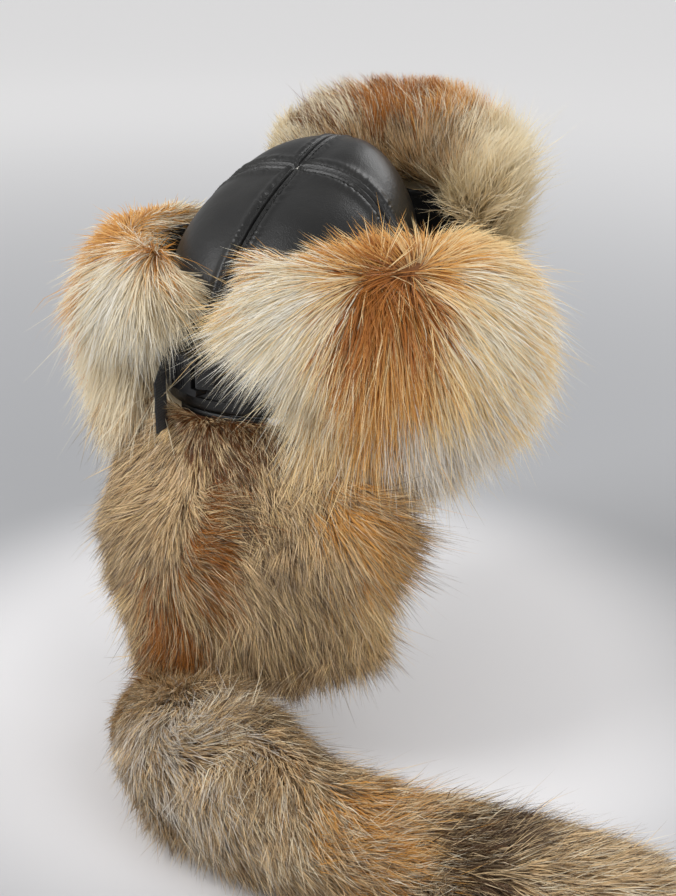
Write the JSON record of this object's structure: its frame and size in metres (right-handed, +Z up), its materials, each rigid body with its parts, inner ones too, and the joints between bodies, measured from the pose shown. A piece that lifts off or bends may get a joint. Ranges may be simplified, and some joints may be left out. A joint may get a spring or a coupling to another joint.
{
  "type": "trapper hat",
  "caption": "Leather hat with a padded round crown, turned-up fur visor and ear flaps, a fur neck cape with a tail, and a buckled strap at the back.",
  "frame": {"origin": "centre of the head opening, at the rim", "axes": "+Z up, +Y towards the wearer's front, +X towards the wearer's right"},
  "size_m": [0.6359, 0.4548, 0.4474],
  "materials": {
    "black_leather": "satin",
    "panel_backing": "satin",
    "wadding": "matt",
    "lining": "quilted satin",
    "interlining": "matt",
    "fox_fur": "long soft fur",
    "cape_fur": "long soft fur",
    "tail_skin": "soft",
    "webbing": "woven",
    "buckle": "satin"
  },
  "bodies": {
    "crown": {"crown_panel_front_right": "black_leather", "crown_panel_front_left": "black_leather", "crown_panel_back_right": "black_leather", "crown_panel_back_left": "black_leather", "crown_band": "black_leather", "crown_wadding": "wadding", "crown_lining": "lining", "sweatband": "black_leather", "rim_binding": "black_leather", "strap_right": "webbing", "strap_left": "webbing", "strap_tab_right": "black_leather", "strap_tab_left": "black_leather", "buckle_socket": "buckle", "buckle_plug": "buckle"},
    "visor": {"visor_leather": "panel_backing", "visor_interlining": "interlining", "visor_fur": "fox_fur"},
    "right_flap": {"right_flap_leather": "panel_backing", "right_flap_fur": "fox_fur"},
    "left_flap": {"left_flap_leather": "panel_backing", "left_flap_fur": "fox_fur"},
    "neck_cape": {"cape_leather": "panel_backing", "cape_fur": "cape_fur"},
    "tail": {"tail_pelt": "tail_skin", "tail_fur": "cape_fur"},
    "strap_end": {"strap_end": "webbing"},
    "upper_prong": {"buckle_prong_upper": "buckle"},
    "lower_prong": {"buckle_prong_lower": "buckle"}
  },
  "joints": [
    {"name": "visor_fold", "type": "hinge", "parent": "crown", "child": "visor", "pos_m": [0, 0.124, -0.01], "axis": [-1, 0, 0], "range_deg": [0, 125]},
    {"name": "right_flap_fold", "type": "hinge", "parent": "crown", "child": "right_flap", "pos_m": [0.111, 0, -0.01], "axis": [0, 1, 0], "range_deg": [0, 160]},
    {"name": "left_flap_fold", "type": "hinge", "parent": "crown", "child": "left_flap", "pos_m": [-0.111, 0, -0.01], "axis": [0, -1, 0], "range_deg": [0, 160]},
    {"name": "neck_cape_lift", "type": "hinge", "parent": "crown", "child": "neck_cape", "pos_m": [0, -0.114, -0.0032], "axis": [-1, 0, 0], "range_deg": [0, 55]},
    {"name": "tail_swing", "type": "hinge", "parent": "neck_cape", "child": "tail", "pos_m": [-0.038, -0.126, -0.2024], "axis": [0, 0, 1], "range_deg": [-50, 5]},
    {"name": "strap_end_swing", "type": "hinge", "parent": "crown", "child": "strap_end", "pos_m": [-0.04297, -0.11903, 0.026], "axis": [-0.162, 0.9868, 0], "range_deg": [0, 60], "deforming": ["strap_end"]},
    {"name": "upper_prong_squeeze", "type": "hinge", "parent": "crown", "child": "upper_prong", "pos_m": [-0.02982, -0.11148, 0.0341], "axis": [0.3203, 0.9473, 0], "range_deg": [0, 15], "stiffness_Nm_per_rad": 0.08},
    {"name": "lower_prong_squeeze", "type": "hinge", "parent": "crown", "child": "lower_prong", "pos_m": [-0.02982, -0.11148, 0.0179], "axis": [-0.3203, -0.9473, 0], "range_deg": [0, 15], "stiffness_Nm_per_rad": 0.08}
  ],
  "couplings": [
    {"joint": "lower_prong_squeeze", "follows": "upper_prong_squeeze", "ratio": 1}
  ]
}
